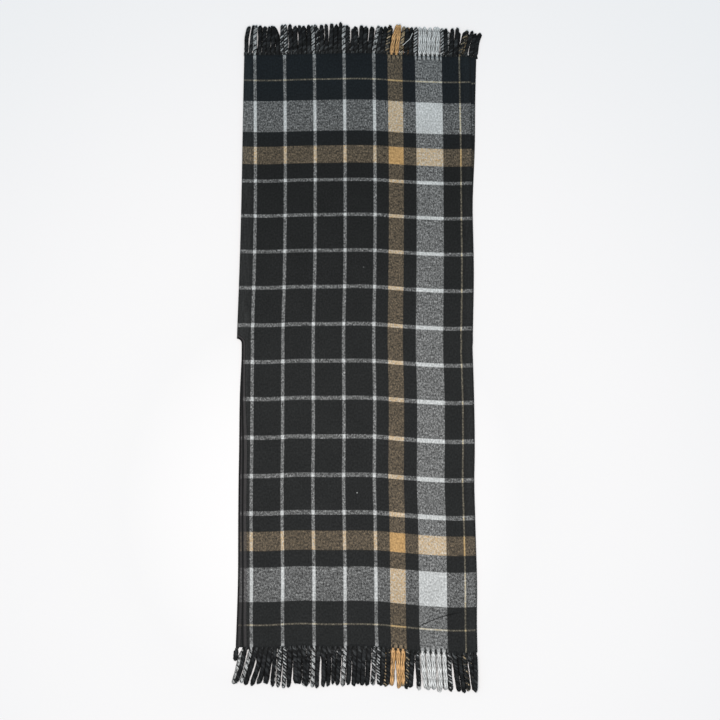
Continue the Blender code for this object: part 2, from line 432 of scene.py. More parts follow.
# One stitch from face to face round the rim: how far in from the edge, in stitch depths, and how
# high, in half walls with the yarn on them.
STITCH_FORM = table(
    "inward height",
    (1.0, 0.1), (0.9, 0.92), (0.55, 1.02), (0.15, 1.0), (-0.16, 0.62), (-0.26, 0), (-0.16, -0.62),
    (0.15, -1.0), (0.55, -1.02), (0.9, -0.92), (1.0, -0.1),
)


def selvedge_line(side, inward):
    """A line in one layer of the cloth, this far in from its selvedge, from hem to hem."""
    front_v = evenly(-FRONT_LENGTH, SLIT_FOOT, ROW_STEP)
    back_v = evenly(SLIT_END, BACK_LENGTH, ROW_STEP)
    reach = HALF_WIDTH - side * read_curve(BACK_ROWS, back_v, "roll")
    front = front_points(side, HALF_WIDTH - inward, front_v)
    return np.concatenate([front, back_points(side, reach - inward, back_v)])


def slit_line(inward):
    """The same beside the slit: up one front's edge, round its end across the fold and down again."""
    front_v = evenly(-FRONT_LENGTH, SLIT_FOOT - ROW_STEP / 2, ROW_STEP)
    inset = read_curve(FRONT_ROWS, front_v, "inset")
    corner = np.linspace(1.0, 0.0, CORNER_POINTS)[1:] * QUARTER
    radius = SLIT_CORNER + inward
    halves = []
    for side in (1, -1):
        end = back_points(side, radius * np.sin(corner), SLIT_FOOT + radius * np.cos(corner))
        halves.append(np.concatenate([front_points(side, inset + inward, front_v), end]))
    return np.concatenate([halves[0], halves[1][-2::-1]])


def resample(line, stations, at):
    return np.stack([np.interp(at, stations, line[:, axis]) for axis in range(3)], -1)


def overcast(edge, inside, pitch, rng):
    """Stitches slanting round one edge and the yarn that they lock along its rim."""
    lengths = np.linalg.norm(np.diff(edge, axis=0), axis=1)
    stations = np.concatenate([[0.0], np.cumsum(lengths)])
    count = int(stations[-1] / pitch)
    at = (np.arange(count) + 0.5) * stations[-1] / count
    at = at + rng.normal(0, STITCH_JITTER * pitch, count)
    here = resample(edge, stations, at)
    ahead = resample(edge, stations, at + AHEAD_PROBE) - resample(edge, stations, at - AHEAD_PROBE)
    ahead = unit(ahead)
    inward = resample(inside, stations, at) - here
    inward = unit(inward - np.sum(inward * ahead, 1, keepdims=True) * ahead)
    normal = np.cross(ahead, inward)
    form_in, form_up = [np.array([row[name] for row in STITCH_FORM]) for name in ("inward", "height")]
    lean = np.linspace(-0.5, 0.5, len(STITCH_FORM)) * STITCH_SLANT
    depth = rng.uniform(*STITCH_DEPTHS, count)
    paths = here[:, None] + (depth[:, None] * form_in)[..., None] * inward[:, None]
    paths = paths + ((CLOTH / 2 + STITCH_YARN) * form_up)[:, None] * normal[:, None]
    paths = paths + lean[:, None] * ahead[:, None]
    paths[..., 2] = np.maximum(paths[..., 2], STITCH_YARN)
    size = np.full(paths.shape[:2], STITCH_YARN)
    loops, faces = tubes(paths, ahead[:, None], size, size, STITCH_SIDES)

    rim = resample(edge, stations, evenly(0.0, stations[-1], STITCH_PITCH / 2))
    rim[:, 2] = np.maximum(rim[:, 2], RIM_YARN * RIM_FLATNESS)
    thick = RIM_YARN * (1 + RIM_KNOTS * np.cos(np.arange(len(rim)) * math.pi))[None]
    rim_points, rim_faces = tubes(rim[None], UP, thick, thick * RIM_FLATNESS, RIM_SIDES)
    faces += shifted(rim_faces, loops[..., 0].size)
    return np.concatenate([loops.reshape(-1, 3), rim_points.reshape(-1, 3)]), faces


def shifted(faces, by):
    """The faces, for points numbered that much further on."""
    return [[by + corner for corner in face] for face in faces]


def make_overcasting(material):
    """The black yarn along both selvedges and all round the slit."""
    rng = np.random.default_rng(21)
    points = np.zeros((0, 3))
    faces = []
    upper, lower = [[selvedge_line(side, inward) for inward in EDGE_PROBES] for side in (1, -1)]
    slit = [slit_line(inward) for inward in EDGE_PROBES]
    for edge, pitch in ((upper, STITCH_PITCH), (lower, STITCH_PITCH), (slit, SLIT_PITCH)):
        some, their_faces = overcast(*edge, pitch, rng)
        faces += shifted(their_faces, len(points))
        points = np.concatenate([points, some])
    return new_piece("overcasting", points, faces, yarn_map(points), material)


# ---- the tassels

# The twist of a tassel: four strands, each of a quarter of its warp ends, laid round a flattened
# rope. STRAND_PLACES says where each one starts, in quarter turns, so that neighbours in the
# cloth come to lie across from each other. At the root the strands are still flat, FLAT_HALF_WIDTH
# being a share of their spacing.
TWIST = dict(back=0.0182, front=0.0168)
TWIST_SPREAD = (0.93, 1.08)
TWIST_HAND = -1
TURNED = 0.8
TURNED_SAME = 0.15
STRAND_PLACES = (3, 1, 2, 0)
STRAND_SWING = 0.0041
STRAND_RISE = 0.0009
STRAND_HALF_WIDTH = 0.0027
STRAND_HALF_HEIGHT = 0.0012
STRAND_TWIST = 0.006
FLAT_HALF_WIDTH = 0.62
FLAT_HALF_HEIGHT = 0.42 * CLOTH
ROPE_HEIGHT = 2 * (STRAND_RISE + STRAND_HALF_HEIGHT)
ROPE_LEVEL = {1: 1.42, -1: 0.53}
SLIMMING = 0.92
STOUT = {1: (0.84, 1.0), -1: (1.03, 1.16)}
RAGGED = 0.045
GATHER = 0.014
ROOT_INSIDE = 0.003
TIP = 0.0035
TIP_BLUNT = 0.97
TIP_SINK = 0.0008
TIP_SINKS_FROM = 0.75
NARROWING = 0.007
TIP_SWING = 0.5
LOOSE_TWIST = 0.16
BAND_SLACK = 0.0025
TASSEL_STATIONS = 62
TASSEL_SIDES = 6
STRAND_PLUMP = 0.1
PLUMP_PACE = 0.011

# Where each hem's warp is parted into tassels: the number of tassels up to that u.
BACK_PARTING = table(
    "tassel edge",
    (0, 0.0125), (1, 0.024), (3, 0.0491), (9, 0.1272), (16, 0.216), (22, 0.29), (23, 0.3035),
    (29, 0.3745), (30, 0.389), (32, 0.4117), (36, 0.4677), (38, 0.4926), (39, 0.5066), (44, 0.5686),
    (45, 0.5826), (48, 0.62), (50, 0.652),
)
FRONT_PARTING = table(
    "tassel edge",
    (0, 0.021), (1, 0.0356), (2, 0.0492), (8, 0.1272), (14, 0.2052), (15, 0.2188), (20, 0.29),
    (21, 0.3036), (27, 0.3816), (30, 0.42), (33, 0.4599), (34, 0.473), (36, 0.499), (41, 0.572),
    (42, 0.586), (47, 0.656),
)

# How the upper tassels lie: how far each leans towards +X, and how far it reaches from the hem.
BACK_LIE = table(
    "tassel lean reach",
    (0, 0.012, 0.088), (1, 0.01, 0.088), (2, 0.006, 0.089), (4, 0.002, 0.088), (6, 0.004, 0.085),
    (7, -0.019, 0.086), (8, -0.001, 0.09), (10, -0.003, 0.092), (11, -0.001, 0.086),
    (15, -0.002, 0.087), (16, -0.009, 0.086), (17, 0.001, 0.086), (18, -0.003, 0.088),
    (20, 0.006, 0.085), (21, 0.007, 0.093), (22, 0.002, 0.084), (23, -0.003, 0.086), (24, 0, 0.073),
    (25, -0.008, 0.073), (26, 0.002, 0.081), (28, 0.009, 0.079), (29, 0.014, 0.083),
    (30, 0.011, 0.08), (32, 0.012, 0.088), (33, 0.02, 0.089), (34, 0.009, 0.09), (35, 0.007, 0.086),
    (36, 0.004, 0.085), (39, 0.004, 0.087), (43, 0.005, 0.087), (45, 0.002, 0.084),
    (46, 0.008, 0.084), (47, 0.008, 0.086), (48, 0.0225, 0.078), (49, 0.0225, 0.078),
)
FRONT_LIE = table(
    "tassel lean reach",
    (0, -0.026, 0.094), (2, -0.029, 0.099), (3, -0.026, 0.102), (5, -0.015, 0.094),
    (6, -0.006, 0.106), (8, -0.004, 0.112), (9, -0.003, 0.112), (10, 0.007, 0.099), (12, 0, 0.102),
    (13, -0.005, 0.11), (15, -0.006, 0.112), (16, -0.005, 0.109), (18, -0.005, 0.103),
    (20, -0.007, 0.105), (21, -0.006, 0.104), (22, -0.001, 0.105), (24, -0.006, 0.104),
    (25, -0.009, 0.104), (26, -0.007, 0.099), (27, -0.001, 0.098), (28, -0.008, 0.1),
    (29, -0.003, 0.099), (30, -0.004, 0.1), (31, 0.002, 0.099), (32, 0.001, 0.093),
    (34, -0.008, 0.095), (35, 0.001, 0.094), (36, 0.008, 0.097), (39, 0.004, 0.1),
    (41, 0.004, 0.098), (42, 0.014, 0.1), (43, 0.01, 0.101), (44, 0.01, 0.101), (45, 0.013, 0.102),
    (46, -0.002, 0.106),
)

# How the lower tassels lie: their own lean and reach, and how closely each one follows the tassel
# over it.
BACK_UNDER = table(
    "u lean reach follow",
    (0, 0.004, 0.086, 0.8), (0.03, 0.003, 0.086, 0.9), (0.2, -0.003, 0.086, 0.9),
    (0.34, 0.003, 0.083, 0.9), (0.4, 0.004, 0.083, 0.6), (0.48, 0.005, 0.084, 0.6),
    (0.6, 0.008, 0.082, 0.5), (0.63, 0.01, 0.076, 0), (0.641, 0.018, 0.0735, 0),
    (0.657, 0.018, 0.0735, 0),
)
FRONT_UNDER = table(
    "u lean reach follow",
    (0.024, -0.006, 0.036, 0), (0.044, -0.032, 0.1, 0), (0.056, -0.024, 0.092, 0),
    (0.07, -0.02, 0.094, 0.9), (0.11, -0.012, 0.1, 0.9), (0.14, -0.01, 0.1, 0.5),
    (0.22, -0.007, 0.101, 0.5), (0.24, -0.006, 0.101, 0.9), (0.28, -0.005, 0.101, 0.9),
    (0.34, -0.003, 0.101, 0.6), (0.4, -0.003, 0.101, 0.9), (0.415, -0.003, 0.101, 0),
    (0.432, -0.003, 0.101, 0), (0.44, -0.003, 0.101, 0.9), (0.51, -0.003, 0.1, 0.9),
    (0.53, 0, 0.099, 0.3), (0.6, 0.004, 0.099, 0.95), (0.657, 0.001, 0.101, 0.95),
)
SPREAD = {1: dict(lean=0.0006, reach=0.001), -1: dict(lean=0.0018, reach=0.0025)}
UNDER_ASIDE = dict(back=0.0014, front=0.001)
UNDER_STRAY = 0.001

# The lower hems are parted a little further on. These tassels are knotted off the even spacing,
# which leaves gaps beside them.
UNDER_SHIFT = dict(back=0.0095, front=0.007)
ODD_ROOTS = table(
    "end side tassel low high",
    ("front", -1, 0, 0.0195, 0.0275),
    ("front", -1, 1, 0.0385, 0.05),
    ("front", 1, 44, 0.614, 0.625),
    ("front", 1, 45, 0.629, 0.6395),
    ("front", 1, 46, 0.6475, 0.656),
    ("front", -1, 45, 0.6285, 0.64),
    ("front", -1, 46, 0.6485, 0.657),
    ("back", -1, 48, 0.6345, 0.648),
    ("back", -1, 49, 0.648, 0.6615),
)

# Most tassels lean evenly from the root. These bend over later or sooner.
BEND = 1.3
ODD_BENDS = table(
    "end side tassel bend",
    ("back", 1, 0, 3.0), ("back", 1, 2, 3.0), ("back", 1, 7, 5.0), ("back", 1, 16, 2.2),
    ("front", 1, 0, 1.0), ("front", 1, 30, 0.8), ("front", 1, 31, 0.8), ("front", -1, 0, 0.5),
    ("front", -1, 1, 0.75),
)
WANDER = (0.00054, 0.0018)
WANDER_PACE = (3.0, 6.0)
RIPPLE = 0.35
RIPPLE_PACE = 2.3
FOLLOWED_FROM = 0.45
LEVEL_SPREAD = 0.0002
HOP = 0.25
MOST_HOP = 0.0034


def odd_rows(rows, side, end):
    """The rows of a table that are about this layer's tassels at this end."""
    return [row for row in rows if row["end"] == end and row["side"] == side]


def hem_points(side, end, u):
    """Mid wall of the hem at these distances u from the centre line."""
    if end == "front":
        return front_points(side, u, np.full(len(u), -FRONT_LENGTH))
    v = np.full(len(u), BACK_LENGTH)
    return back_points(side, np.maximum(u - side * read_curve(BACK_ROWS, v, "roll"), 0.0), v)


def tassel_lines(side, end, u, number, over, rng):
    """The middle line of each tassel, root to tip, and its distance out from the hem. A lower tassel
    comes to lie partly under the nearest of the lines over it."""
    count = len(u)
    if side > 0:
        rows = BACK_LIE if end == "back" else FRONT_LIE
    else:
        rows = BACK_UNDER if end == "back" else FRONT_UNDER
    at = number if side > 0 else u
    lean = read_row(rows, at, "lean") + rng.normal(0, SPREAD[side]["lean"], count)
    reach = read_row(rows, at, "reach") + rng.normal(0, SPREAD[side]["reach"], count)
    bend = np.full((count, 1), BEND)
    for row in odd_rows(ODD_BENDS, side, end):
        bend[row["tassel"]] = row["bend"]
    root = hem_points(side, end, u)
    out = np.linspace(-ROOT_INSIDE, reach, TASSEL_STATIONS, axis=1)
    share = np.clip(out / reach[:, None], 0, 1)
    phase = rng.uniform(0, math.tau, (2, count, 1))
    pace = rng.uniform(*WANDER_PACE, (count, 1))
    wave = np.sin(pace * share + phase[0]) - np.sin(phase[0])
    wave = wave + RIPPLE * (np.sin(RIPPLE_PACE * pace * share + phase[1]) - np.sin(phase[1]))
    swing = rng.uniform(*WANDER, (count, 1)) * wave * np.sqrt(share)
    x = root[:, :1] + lean[:, None] * share**bend + swing
    y = root[:, 1:2] + (out if end == "back" else -out)
    hop = np.zeros(count)
    if side > 0:
        beside = np.abs(np.gradient(lean)) + np.abs(lean - np.roll(lean, 1)) * (number > 0)
        hop = np.minimum(HOP * beside, MOST_HOP)
    else:
        follow = read_row(rows, u, "follow")[:, None] * ease(share / FOLLOWED_FROM)
        middle = TASSEL_STATIONS // 2
        nearest = np.abs(x[:, middle, None] - over[None, :, middle, 0]).argmin(1)
        aside = rng.normal(UNDER_ASIDE[end], UNDER_STRAY, (count, 1))
        x = mix(x, over[nearest, :, 0] + aside, follow)
    level = ROPE_HEIGHT * ROPE_LEVEL[side] + np.abs(rng.normal(0, LEVEL_SPREAD, count))
    sink = TIP_SINK * side * ease(share, TIP_SINKS_FROM, 1.0)
    z = mix(root[:, 2:], level[:, None], ease(out / GATHER)) + hop[:, None] * ease(share) - sink
    return np.stack([x, y, z], -1), out


def within_band(low, high):
    """Whether the warp ends from low to high are all inside one of the wide pale bands."""
    inside = np.zeros(len(low), bool)
    for band in WARP_BANDS:
        off = np.maximum(np.abs(low - band["middle"]), np.abs(high - band["middle"]))
        inside |= off < band["width"] / 2 + BAND_SLACK
    return inside


def cut_off(lines, out, keep):
    """The first part of each line, and of its distances out, at as many stations."""
    last = lines.shape[1] - 1
    place = np.arange(last + 1) * keep
    first = np.minimum(place.astype(int), last - 1)
    t = place - first
    row = np.arange(len(lines))[:, None]
    path = mix(lines[row, first], lines[row, first + 1], t[..., None])
    return path, mix(out[row, first], out[row, first + 1], t)


def make_tassels(side, end, material, over, seed):
    """One layer's twisted tassels on one hem, as one joined mesh, and their middle lines."""
    rng = np.random.default_rng(seed)
    rows = BACK_PARTING if end == "back" else FRONT_PARTING
    number = np.arange(rows[-1]["tassel"])
    shift = UNDER_SHIFT[end] if side < 0 else 0.0
    low = read_row(rows, number, "edge") + shift
    high = read_row(rows, number + 1, "edge") + shift
    for row in odd_rows(ODD_ROOTS, side, end):
        low[row["tassel"]] = row["low"]
        high[row["tassel"]] = row["high"]
    lines, reach = tassel_lines(side, end, (low + high) / 2, number, over, rng)

    # Each strand runs from its own place along the hem to its place round the rope. Arrays from here
    # on are by strand, tassel and station. The tassels of one pale yarn are hardly twisted.
    each = (len(number), 1)
    plain = within_band(low, high)[:, None]
    pace = TWIST_HAND * math.tau / (TWIST[end] * rng.uniform(*TWIST_SPREAD, each))
    pace = pace * np.where(plain, LOOSE_TWIST, 1.0)
    start = rng.uniform(-TURNED, TURNED, each) * np.where(plain, 1.0, TURNED_SAME)
    stout = np.where(plain, 1.0, rng.uniform(*STOUT[side], each))
    draws = [rng.uniform(0, most, each) for _ in STRAND_PLACES for most in (RAGGED, math.tau)]
    centre, out = cut_off(lines, reach, 1 - np.stack(draws[::2]))
    length = out[..., -1:]
    gathered = ease(out / GATHER)
    slim = stout * mix(1.0, SLIMMING, np.clip(out / length, 0, 1))
    swing = STRAND_SWING * slim * mix(TIP_SWING, 1.0, ease((length - out) / NARROWING))
    place = np.array(STRAND_PLACES)[:, None, None]
    angle = start + pace * np.maximum(out, 0) + place * QUARTER
    plump = 1 + STRAND_PLUMP * np.sin(out / PLUMP_PACE + np.stack(draws[1::2]))
    thick = plump * np.sqrt(1 - np.clip((out - length + TIP) / TIP, 0, TIP_BLUNT) ** 2)

    ahead = unit(np.gradient(centre[..., :2], axis=2))
    across = np.stack([np.abs(ahead[..., 1]), -ahead[..., 0] * np.sign(ahead[..., 1])], -1)
    strand = np.arange(len(STRAND_PLACES))[:, None, None]
    quarter = (high - low)[:, None] / len(STRAND_PLACES)
    flat = (strand - strand.mean()) * quarter
    path = centre.copy()
    path[..., :2] += mix(flat, swing * np.cos(angle), gathered)[..., None] * across
    path[..., 2] += STRAND_RISE * np.sin(angle) * gathered
    wide = mix(quarter * FLAT_HALF_WIDTH, STRAND_HALF_WIDTH * slim, gathered) * thick
    high = mix(FLAT_HALF_HEIGHT, STRAND_HALF_HEIGHT, gathered) * thick
    rope = mix(quarter * 2.0, swing + STRAND_HALF_WIDTH * slim, gathered)
    tubed = [joined.reshape(-1, *joined.shape[2:]) for joined in (path, wide, high)]
    points, faces = tubes(tubed[0], UP, *tubed[1:], TASSEL_SIDES)
    points = points.reshape(*path.shape[:3], TASSEL_SIDES, 3)

    # What the material needs at each point: the warp ends of its strand, its place round and along
    # the strand, its place across the rope, and whether the whole tassel is of one pale yarn.
    inner = (low[:, None] + strand * quarter)[..., None]
    aside = np.sum((points - centre[..., None, :])[..., :2] * across[..., None, :], -1)
    maps = {
        "ends": (inner, inner + quarter[..., None]),
        "yarn": ((np.arange(TASSEL_SIDES) + 0.5) / TASSEL_SIDES, out[..., None]),
        "rope": (aside / rope[..., None], plain[..., None] * 1.0),
    }
    name = f"{end}_{LAYERS[side]}"
    piece = new_piece("tassels_" + name, points, faces, maps, material)
    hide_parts("fringe_" + name)
    return piece, lines


# A loose end of pale thread lying over the upper back tassels.
LOOSE_THREAD = table(
    "step x y",
    (0, 0.1508, 0.9073), (1, 0.1455, 0.895), (2, 0.1436, 0.89), (3, 0.1341, 0.8812),
    (4, 0.1221, 0.8699),
)
THREAD_POINTS = 25
THREAD_RADIUS = 0.0008
THREAD_REST = 0.0035
THREAD_SIDES = 6


def make_loose_thread(tassels, material):
    """The thread, resting on whatever of the tassels is highest close to it."""
    under = np.array([vertex.co for vertex in tassels.data.vertices])
    step = np.linspace(0, len(LOOSE_THREAD) - 1, THREAD_POINTS)
    x, y = [read_curve(LOOSE_THREAD, step, axis) for axis in "xy"]
    off = np.hypot(under[:, 0] - x[:, None], under[:, 1] - y[:, None])
    z = np.where(off < THREAD_REST, under[:, 2], 0.0).max(1) + THREAD_RADIUS * 0.8
    z[1:-1] = np.maximum(z[1:-1], (z[:-2] + z[2:]) / 2)
    size = np.full((1, len(step)), THREAD_RADIUS)
    points, faces = tubes(np.stack([x, y, z], -1)[None], UP, size, size, THREAD_SIDES)
    points = points.reshape(-1, 3)
    return new_piece("loose_thread", points, faces, yarn_map(points), material)


# ---- materials

# Colours as shares of full display brightness. The Gamma node at the end of each material turns
# them into light, so that mixed threads average as the eye sees them.
DISPLAY_GAMMA = 2.2
BLACK = (0.143, 0.146, 0.147, 1.0)
WHITE = (0.67, 0.678, 0.68, 1.0)
GOLD = (0.636, 0.512, 0.35, 1.0)
STRAW = (0.64, 0.575, 0.44, 1.0)
# A cooler, darker black for the back half: painted shade.
COOL_SHADED_BLACK = (0.116, 0.131, 0.143, 1.0)
ROOT_BLACK = (0.147, 0.151, 0.154, 1.0)
STITCH_BLACK = (0.1, 0.102, 0.105, 1.0)
# The tassels' copies of the yarns: the black is painted darker than in the cloth as shade, and the
# white and gold are painted lighter as light.
SHADED_TWISTED_BLACK = (0.105, 0.109, 0.114, 1.0)
LIT_TWISTED_WHITE = (0.8, 0.803, 0.802, 1.0)
LIT_TWISTED_GOLD = (0.785, 0.608, 0.412, 1.0)
MIXED_WHITE = (0.66, 0.664, 0.665, 1.0)
MIXED_GOLD = (0.6, 0.53, 0.42, 1.0)
LINT_GREY = (0.58, 0.6, 0.61, 1.0)
WORN_WHITE = (1.0, 1.0, 1.0, 1.0)

# The check, in metres from the centre line (warp) or the middle line (weft), the same both ways.
WARP_CHECK = dict(first=0.0424, pitch=0.0848, line=0.0088, widening=0.0, until=0.4)
WEFT_CHECK = dict(first=0.05175, pitch=0.1035, line=0.0108, widening=0.003, until=0.49)
WARP_BANDS = table(
    "yarn middle width",
    ("gold", 0.4417, 0.0422),
    ("white", 0.53715, 0.0763),
    ("straw", 0.6253, 0.0042),
)
WEFT_BANDS = table(
    "yarn middle width",
    ("gold", 0.5405, 0.051),
    ("white", 0.6555, 0.093),
    ("straw", 0.763, 0.0042),
)
THREAD = 0.00125
STRIPE_BLUR = 0.0006


def sum_of(operation):
    return lambda value, *others: value.math(operation, *others)


class Value:
    """A node's output, worked with as if it were a number."""

    __add__ = sum_of("ADD")
    __sub__ = sum_of("SUBTRACT")
    __mul__ = sum_of("MULTIPLY")
    __truediv__ = sum_of("DIVIDE")
    __mod__ = sum_of("FLOORED_MODULO")
    __pow__ = sum_of("POWER")
    __lt__ = sum_of("LESS_THAN")
    __abs__ = sum_of("ABSOLUTE")

    def __init__(self, tree, socket):
        self.tree = tree
        self.socket = socket

    def math(self, operation, *others):
        return self.tree.add("Math", dict(enumerate((self, *others))), operation=operation)

    def zigzag(self):
        """0 at each whole number and 0.5 half way between."""
        return self.math("PINGPONG", 0.5)

    def ramp(self, low, high, start=0.0, end=1.0):
        """start at low to end at high, level beyond them. Constants of two or four numbers, such as
        the TONES, hold these."""
        return self.tree.add("MapRange", {0: self, 1: low, 2: high, 3: start, 4: end})

    def parts(self):
        """The red, green and blue of a colour."""
        sockets = self.tree.add("SeparateColor", {0: self}).socket.node.outputs
        return [Value(self.tree, socket) for socket in sockets]


class Tree:
    """A material's node tree, with short calls for the nodes used here."""

    def __init__(self, name, **surface):
        self.material = bpy.data.materials.new(name)
        self.material.use_nodes = True
        self.graph = self.material.node_tree
        self.shader = self.graph.nodes["Principled BSDF"]
        for label, value in surface.items():
            self.shader.inputs[label.replace("_", " ")].default_value = value

    def add(self, kind, inputs, output=0, **settings):
        """The output of a new node, with its inputs by name or number as constants or values."""
        node = self.graph.nodes.new("ShaderNode" + kind)
        for key, value in settings.items():
            setattr(node, key, value)
        for key, value in inputs.items():
            if isinstance(value, Value):
                self.graph.links.new(value.socket, node.inputs[key])
            else:
                node.inputs[key].default_value = value
        return Value(self, node.outputs[output])

    def blend(self, factor, a, b, how="MIX"):
        return self.add("Mix", {0: factor, 6: a, 7: b}, 2, data_type="RGBA", blend_type=how)

    def shade(self, colour, factor):
        """The colour, made lighter or darker by a factor."""
        return self.blend(1.0, colour, factor, "MULTIPLY")

    def noise(self, vector, pace, detail=2.0):
        """Noise of one pace, or of a pair of paces along x and y."""
        if isinstance(pace, tuple):
            vector = self.add("VectorMath", {0: vector, 1: (*pace, 1.0)}, operation="MULTIPLY")
            pace = 1.0
        return self.add("TexNoise", {"Vector": vector, "Scale": pace, "Detail": detail})

    def uv(self, label):
        """A UV map as a vector, and its two numbers."""
        vector = self.add("UVMap", {}, uv_map=label)
        return vector, *[self.add("SeparateXYZ", {0: vector}, axis) for axis in (0, 1)]

    def finish(self, colour, height, strength, distance):
        """The material, with the colour turned into light and a bump of this height."""
        gamma = self.add("Gamma", {0: colour, 1: DISPLAY_GAMMA})
        bump = self.add("Bump", {"Strength": strength, "Distance": distance, "Height": height})
        self.graph.links.new(gamma.socket, self.shader.inputs["Base Color"])
        self.graph.links.new(bump.socket, self.shader.inputs["Normal"])
        return self.material


def stripe_colour(tree, at, check, bands, yarns):
    """The colour of the yarn at this distance from the pattern's centre line. The lines of the check
    widen towards the negative side."""
    along = abs(at)
    off = abs(along % check["pitch"] - check["first"])
    half = at * (-check["widening"] / 2) + check["line"] / 2
    line = (off - half).ramp(STRIPE_BLUR, -STRIPE_BLUR) * (along < check["until"])
    colour = tree.blend(line, yarns["black"], yarns["white"])
    for band in bands:
        half = band["width"] / 2
        inside = abs(along - band["middle"]).ramp(half + STRIPE_BLUR, half - STRIPE_BLUR)
        colour = tree.blend(inside, colour, yarns[band["yarn"]])
    return colour


# The slit's edge is turned in and sewn down: a black rim, a greyer strip that hides half of the
# pattern, and a row of stitches at its inner side, drawn as dashes of painted shade where they sink
# into the cloth. The strip widens from the neck to the hem.
HEM_INSET = dict(near=-0.135, far=-0.3, inset=0.0183)
HEM_BLUR = 0.0006
HEM_RIM = 0.0034
HEM_REACH = (-0.02, -0.25)
HEM_WIDTHS = (0.0078, 0.0118)
HEM_GREY = (0.262, 0.25, 0.254, 1.0)
HEM_SHARE = 0.5
SEWN_PITCH = 0.0058
SEWN_HALF = 0.0011
SEWN_GAP = (0.1, 0.2)
SEWN_SHADE = 0.58


def slit_hem(tree, colour, u, v):
    """The colour with the slit's hem drawn along its sides and round its end."""
    beyond = (v - SLIT_FOOT).math("MAXIMUM", 0.0)
    inset = v.ramp(HEM_INSET["near"], HEM_INSET["far"], SLIT_CORNER, HEM_INSET["inset"])
    off = (u**2 + beyond**2) ** 0.5 - inset
    past = off - v.ramp(*HEM_REACH, *HEM_WIDTHS)
    strip = past.ramp(HEM_BLUR, -HEM_BLUR) * HEM_SHARE
    colour = tree.blend(strip, colour, HEM_GREY)
    colour = tree.blend(off.ramp(HEM_RIM + HEM_BLUR, HEM_RIM - HEM_BLUR), colour, STITCH_BLACK)
    # The stitches' dashes are painted shade.
    stitch_shade = ((abs(u) + v) / SEWN_PITCH).zigzag().ramp(*SEWN_GAP)
    stitch_shade = stitch_shade * abs(past - SEWN_HALF).ramp(SEWN_HALF, SEWN_HALF * 0.6)
    return tree.shade(colour, stitch_shade.ramp(0.0, 1.0, 1.0, SEWN_SHADE))


# Along the sharpest crease a line of painted shadow: where that line starts and ends, how far it
# rises in between, and how much of that it loses by flattening out.
TUCK = dict(start=0.495, end=0.625, foot=-0.759, rise=0.077, flattening=0.03)
TUCK_HALF = 0.0023
TUCK_SHADE = 0.5
TUCK_FADES = (0.014, 0.055)


def crease_shadow(tree, colour, u, v):
    """The colour, darkened along the line of the sharpest crease as painted shadow."""
    start = TUCK["start"]
    end = TUCK["end"]
    along = u.ramp(start, end)
    line = along * (along * -TUCK["flattening"] + TUCK["rise"]) + TUCK["foot"]
    depth = abs(v - line).ramp(TUCK_HALF, TUCK_HALF * 0.3)
    depth = depth * u.ramp(start, start + TUCK_FADES[0]) * u.ramp(end, end - TUCK_FADES[1])
    return tree.shade(colour, depth.ramp(0.0, 1.0, 1.0, TUCK_SHADE))


SPOT_CORE = 0.45


def spot(u, v, row):
    """1 at a small place on the upper layer, falling to 0 at its size."""
    off = ((u - row["u"]) ** 2 + (v - row["v"]) ** 2) ** 0.5
    return off.ramp(row["size"], row["size"] * SPOT_CORE)


# Where dark threads cross pale ones: how far their colours differ, and what comes of it.
CROSSED = (0.1, 0.4)
DULLED = 0.5
DARKENED = 0.875


def mingle(tree, colour, warp, weft):
    """Where dark threads cross pale ones, they take up some of its light and half of its warmth."""
    dulled = abs(warp.parts()[0] - weft.parts()[0]).ramp(*CROSSED)
    _, green, blue = colour.parts()
    plain = (green + blue) * 0.5
    grey = tree.add("CombineXYZ", {0: plain, 1: plain, 2: plain})
    colour = tree.blend(dulled * DULLED, colour, grey)
    return tree.shade(colour, dulled.ramp(0.0, 1.0, 1.0, DARKENED))


# The last weft rows before a hem are loose: from how far before it, how much more the warp shows,
# and the teeth of packed weft in the pale bands.
HEM_LOOSE = (0.013, 0.006)
HEM_WARP_LEAD = 0.46
BACK_TEETH = dict(first=0.5066, pitch=0.0124)
FRONT_TEETH = dict(first=0.499, pitch=0.0146)
TOOTH = (0.08, 0.25, -1.0, 1.0)
TEETH_START = (0.42, 0.415, 0.0, 2.0)


def loosened(away, before, teeth):
    """How far the last weft rows before a hem are loose and let the warp through. In the pale bands
    they stay packed as dark teeth where the tassels part."""
    parted = ((away - teeth["first"]) / teeth["pitch"]).zigzag().ramp(*TOOTH)
    beside = away.ramp(*TEETH_START)
    return (parted + beside).math("MINIMUM", 1.0) * before.ramp(*HEM_LOOSE)


# How the plaid's threads show: the warp's share of what is seen, the contrast of single threads,
# and the unevenness of the brushed surface, whose paces are in waves per metre.
WARP_SHARE = 0.54
THREAD_CONTRAST = 0.14
THREAD_PACE = 420.0
THREAD_WANDER = 0.9
GRAIN = 1.38
GRAIN_PACE = (262.0, 196.0)
CLUMPS = 0.4
CLUMP_PACE = 85.0
GOLD_WEFT_LEAD = 0.25
